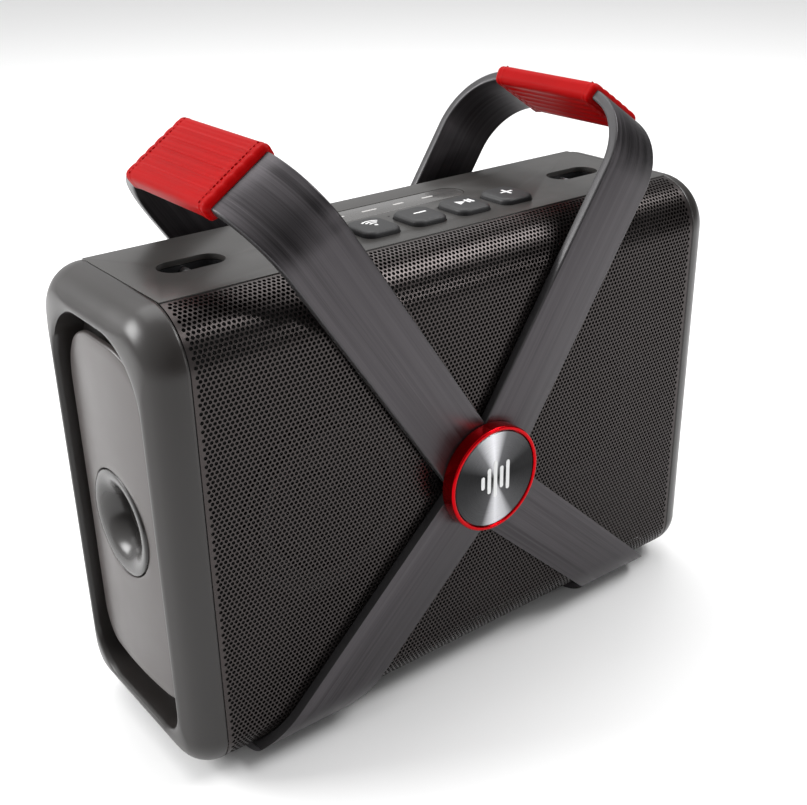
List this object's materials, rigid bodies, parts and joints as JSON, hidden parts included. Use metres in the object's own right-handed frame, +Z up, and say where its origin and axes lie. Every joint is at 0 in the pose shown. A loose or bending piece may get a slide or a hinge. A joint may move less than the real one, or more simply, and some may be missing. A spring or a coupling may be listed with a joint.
{
  "type": "party speaker",
  "caption": "Portable rounded-box loudspeaker with a perforated front, crossed straps, a round centre hub, two raised strap handles with padded grips and a bass port in each end.",
  "frame": {"origin": "on the ground, under the middle of the speaker's overall box", "axes": "+X to the viewer's right, the grille faces -Y, +Z up"},
  "size_m": [0.334, 0.1378, 0.2895],
  "materials": {
    "shell": "satin moulded plastic",
    "inner": "dark moulded plastic",
    "grille": "perforated sheet, dark coat",
    "strap": "brushed graphite",
    "grip": "red silicone, ribbed",
    "hub_red": "red anodised",
    "spun": "spun, dark",
    "rubber": "matt black",
    "lens": "smoked",
    "board": "circuit board",
    "steel": "satin",
    "cone": "pulp cone",
    "magnet": "ferrite",
    "battery": "shrink wrap"
  },
  "bodies": {
    "cabinet": {"anchor_bar_left": "steel", "anchor_bar_right": "steel", "anchor_cup_left": "inner", "anchor_cup_right": "inner", "aux_socket": "steel", "battery_pack": "battery", "button_board": "board", "centre_brace": "inner", "end_cap_left": "shell", "end_cap_right": "shell", "end_panel_left": "shell", "end_panel_right": "shell", "foot_front_left": "rubber", "foot_front_right": "rubber", "foot_rear_left": "rubber", "foot_rear_right": "rubber", "front_baffle": "inner", "front_grille": "grille", "grip_left": "grip", "grip_right": "grip", "hub_disc": "spun", "hub_ring": "hub_red", "hub_stud": "steel", "indicator_lens": "lens", "main_board": "board", "port_tube_left": "inner", "port_tube_right": "inner", "rear_hub_cover": "spun", "rear_screw_1": "steel", "rear_screw_2": "steel", "rear_screw_3": "steel", "rear_screw_4": "steel", "rear_shell": "shell", "socket_plate": "inner", "strap_lower_left": "strap", "strap_lower_right": "strap", "strap_upper_left": "strap", "strap_upper_right": "strap", "top_panel": "shell", "usb_socket": "steel", "woofer_basket_left": "steel", "woofer_basket_right": "steel", "woofer_magnet_left": "magnet", "woofer_magnet_right": "magnet", "woofer_surround_left": "rubber", "woofer_surround_right": "rubber"},
    "button_power": {"button_power": "rubber"},
    "button_wireless": {"button_wireless": "rubber"},
    "button_minus": {"button_minus": "rubber"},
    "button_play": {"button_play": "rubber"},
    "button_plus": {"button_plus": "rubber"},
    "woofer_cone_left": {"woofer_cone_left": "cone"},
    "woofer_cone_right": {"woofer_cone_right": "cone"},
    "socket_flap": {"socket_flap": "rubber"}
  },
  "joints": [
    {"name": "button_power_press", "type": "slide", "parent": "cabinet", "child": "button_power", "axis": [0, 0, -1], "range_m": [0, 0.0008], "stiffness_N_per_m": 600, "springref_m": -0.0005},
    {"name": "button_wireless_press", "type": "slide", "parent": "cabinet", "child": "button_wireless", "axis": [0, 0, -1], "range_m": [0, 0.0008], "stiffness_N_per_m": 600, "springref_m": -0.0005},
    {"name": "button_minus_press", "type": "slide", "parent": "cabinet", "child": "button_minus", "axis": [0, 0, -1], "range_m": [0, 0.0008], "stiffness_N_per_m": 600, "springref_m": -0.0005},
    {"name": "button_play_press", "type": "slide", "parent": "cabinet", "child": "button_play", "axis": [0, 0, -1], "range_m": [0, 0.0008], "stiffness_N_per_m": 600, "springref_m": -0.0005},
    {"name": "button_plus_press", "type": "slide", "parent": "cabinet", "child": "button_plus", "axis": [0, 0, -1], "range_m": [0, 0.0008], "stiffness_N_per_m": 600, "springref_m": -0.0005},
    {"name": "woofer_cone_left_stroke", "type": "slide", "parent": "cabinet", "child": "woofer_cone_left", "axis": [0, -1, 0], "range_m": [-0.003, 0.003], "stiffness_N_per_m": 1200},
    {"name": "woofer_cone_right_stroke", "type": "slide", "parent": "cabinet", "child": "woofer_cone_right", "axis": [0, -1, 0], "range_m": [-0.003, 0.003], "stiffness_N_per_m": 1200},
    {"name": "socket_flap_hinge", "type": "hinge", "parent": "cabinet", "child": "socket_flap", "pos_m": [0, 0.059, 0.038], "axis": [1, 0, 0], "range_deg": [0, 90]}
  ]
}
